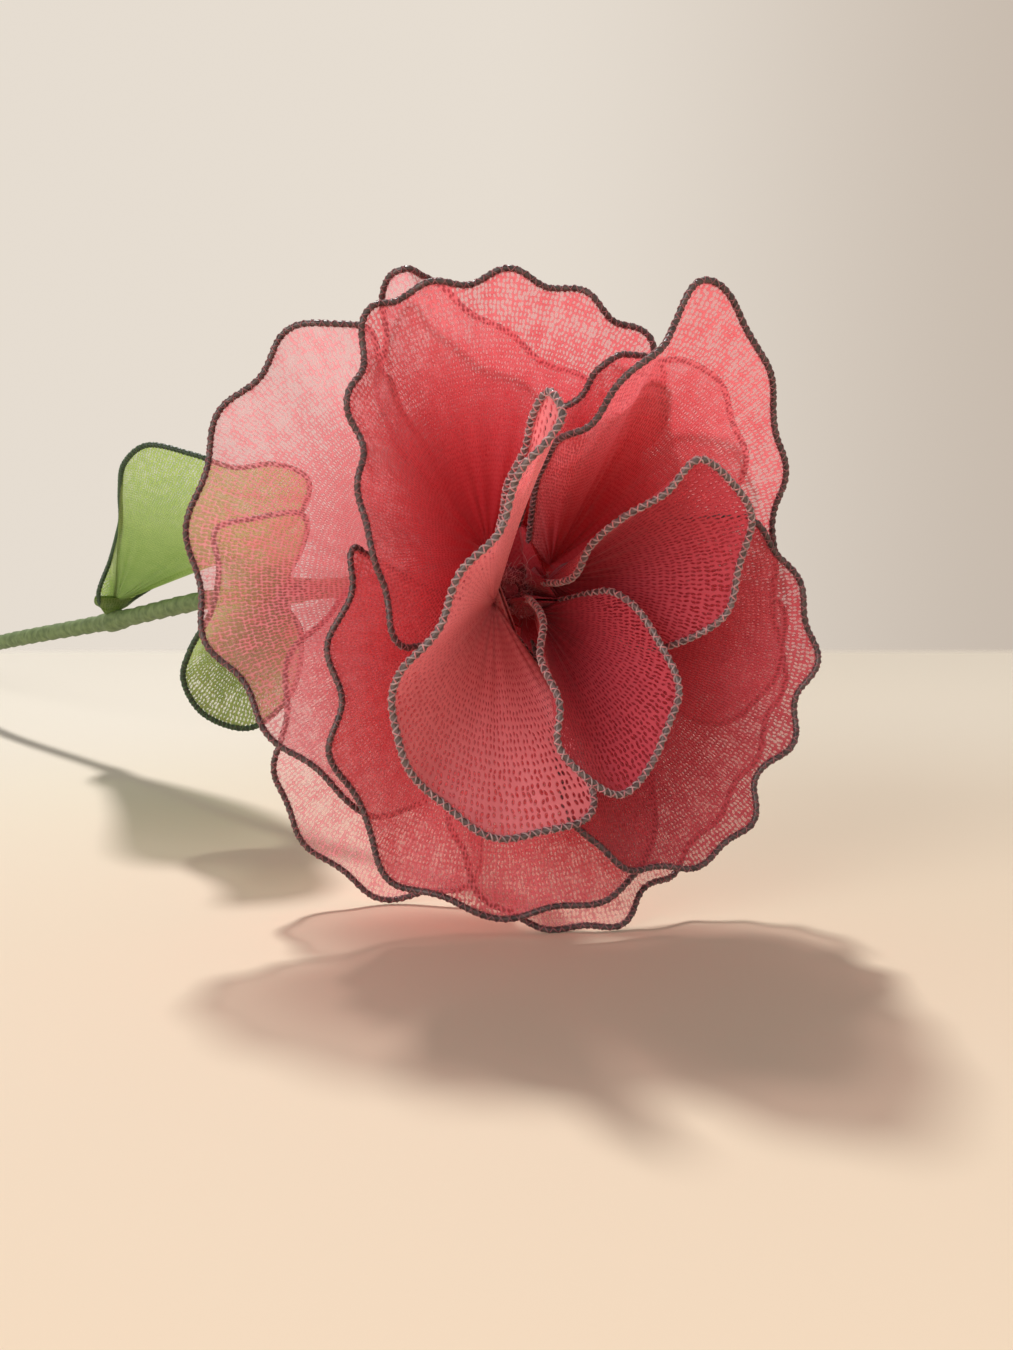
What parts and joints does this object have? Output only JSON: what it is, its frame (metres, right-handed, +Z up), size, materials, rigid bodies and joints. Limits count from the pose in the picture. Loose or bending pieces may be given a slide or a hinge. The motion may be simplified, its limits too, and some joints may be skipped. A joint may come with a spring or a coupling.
{
  "type": "nylon mesh rose",
  "caption": "Stemmed artificial rose of sheer nylon knit stretched over bent wire loops, lying on its petals and stem end, with a knob at the throat and green leaves.",
  "frame": {"origin": "centre of the bounding box's footprint, on the table that the rose lies on", "axes": "+Z up from the table; -Y towards the face of the bloom; +Y along the longest extent, the way the stem runs back; +X to the right of someone facing the bloom"},
  "size_m": [0.2238, 0.2842, 0.0825],
  "materials": {
    "coral_nylon": "sheer knitted nylon, matt with a faint sheen",
    "rim_wire": "dark coated craft wire with the knit stitched over it",
    "green_nylon": "sheer knitted nylon, matt with a faint sheen",
    "leaf_wire": "dark green coated craft wire with the knit stitched over it",
    "floral_tape": "matt waxed crepe tape, lapped",
    "stem_steel": "snipped wire end",
    "tying_thread": "matt twisted thread"
  },
  "bodies": {
    "root": {"inner_petal_1_wire": "rim_wire", "inner_petal_1_cover": "coral_nylon", "inner_petal_2_wire": "rim_wire", "inner_petal_2_cover": "coral_nylon", "inner_petal_3_wire": "rim_wire", "inner_petal_3_cover": "coral_nylon", "middle_petal_1_wire": "rim_wire", "middle_petal_1_cover": "coral_nylon", "middle_petal_2_wire": "rim_wire", "middle_petal_2_cover": "coral_nylon", "middle_petal_3_wire": "rim_wire", "middle_petal_3_cover": "coral_nylon", "middle_petal_4_wire": "rim_wire", "middle_petal_4_cover": "coral_nylon", "middle_petal_5_wire": "rim_wire", "middle_petal_5_cover": "coral_nylon", "outer_petal_1_wire": "rim_wire", "outer_petal_1_cover": "coral_nylon", "outer_petal_2_wire": "rim_wire", "outer_petal_2_cover": "coral_nylon", "outer_petal_3_wire": "rim_wire", "outer_petal_3_cover": "coral_nylon", "outer_petal_4_wire": "rim_wire", "outer_petal_4_cover": "coral_nylon", "outer_petal_5_wire": "rim_wire", "outer_petal_5_cover": "coral_nylon", "leaf_1_wire": "leaf_wire", "leaf_1_cover": "green_nylon", "leaf_2_wire": "leaf_wire", "leaf_2_cover": "green_nylon", "stem_tape": "floral_tape", "stem_wire": "stem_steel", "binding_thread": "tying_thread"}
  },
  "joints": []
}
